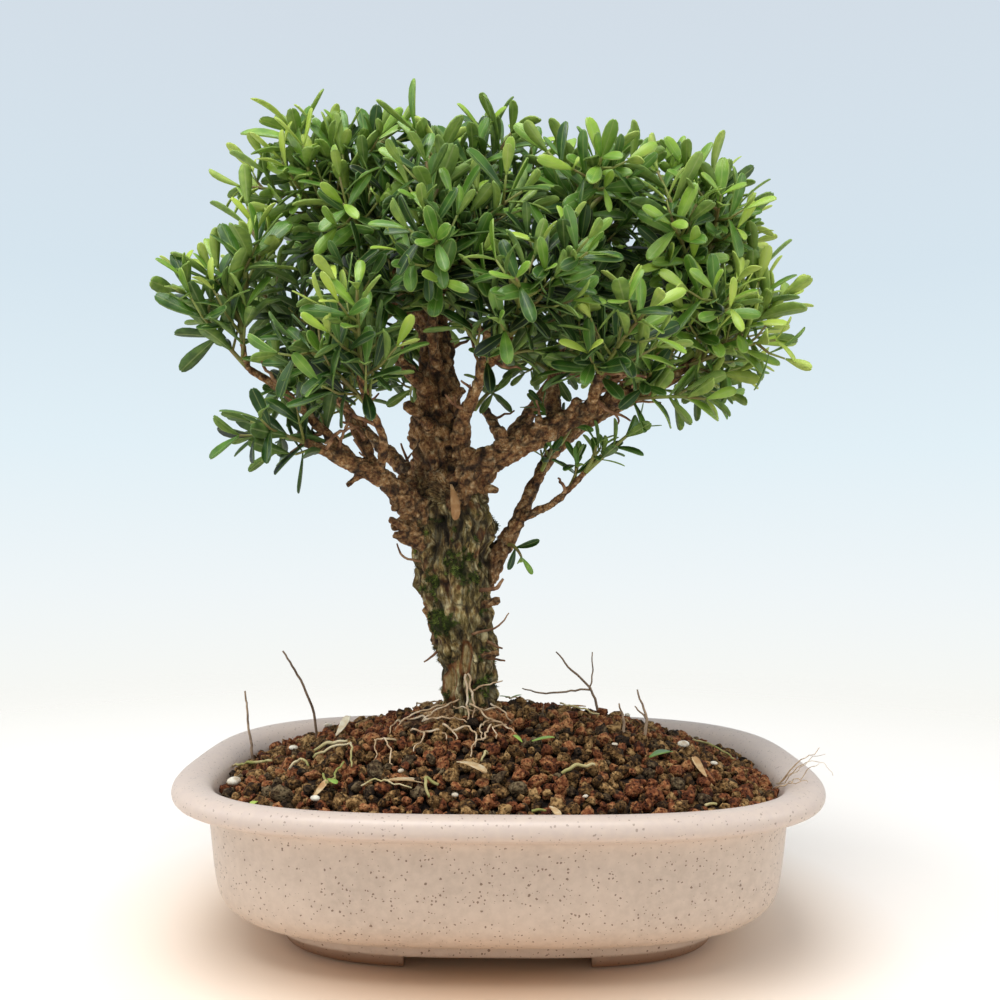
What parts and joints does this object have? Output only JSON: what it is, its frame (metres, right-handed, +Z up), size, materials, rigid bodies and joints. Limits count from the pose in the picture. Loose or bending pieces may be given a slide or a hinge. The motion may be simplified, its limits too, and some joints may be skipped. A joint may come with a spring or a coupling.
{
  "type": "potted bonsai tree",
  "caption": "Small-leaved boxwood bonsai with a corky trunk and a wide crown, planted in gritty soil in an oblong stoneware pot with corner feet.",
  "frame": {"origin": "under the middle of the model's box, at the height of the pot's feet", "axes": "+Z up, +X to the right along the pot's length, -Y to the front"},
  "size_m": [0.208, 0.1616, 0.2666],
  "materials": {
    "pot": "satin",
    "mesh": "matte",
    "soil": "matte",
    "bark": "matte",
    "leaf": "satin",
    "dry_stem": "matte",
    "dry_leaf": "matte"
  },
  "bodies": {
    "root": {"drain_mesh_left": "mesh", "drain_mesh_right": "mesh", "dry_stem_forked": "dry_stem", "dry_stem_left": "dry_stem", "dry_stem_tall": "dry_stem", "fallen_leaf_front": "dry_leaf", "fallen_leaf_middle": "dry_leaf", "pot": "pot", "soil": "soil", "spray_01": "leaf", "spray_02": "leaf", "spray_03": "leaf", "spray_04": "leaf", "spray_05": "leaf", "spray_06": "leaf", "spray_07": "leaf", "spray_08": "leaf", "spray_09": "leaf", "spray_10": "leaf", "spray_11": "leaf", "spray_12": "leaf", "spray_13": "leaf", "spray_14": "leaf", "spray_15": "leaf", "spray_16": "leaf", "spray_17": "leaf", "spray_18": "leaf", "spray_19": "leaf", "spray_20": "leaf", "spray_21": "leaf", "spray_22": "leaf", "spray_23": "leaf", "spray_24": "leaf", "spray_25": "leaf", "spray_26": "leaf", "spray_27": "leaf", "spray_28": "leaf", "spray_29": "leaf", "spray_30": "leaf", "spray_31": "leaf", "spray_32": "leaf", "spray_33": "leaf", "spray_34": "leaf", "spray_35": "leaf", "spray_36": "leaf", "spray_37": "leaf", "spray_38": "leaf", "spray_39": "leaf", "spray_40": "leaf", "spray_41": "leaf", "spray_42": "leaf", "spray_43": "leaf", "spray_44": "leaf", "spray_45": "leaf", "spray_46": "leaf", "spray_47": "leaf", "spray_48": "leaf", "spray_49": "leaf", "spray_50": "leaf", "tree": "bark"}
  },
  "joints": []
}
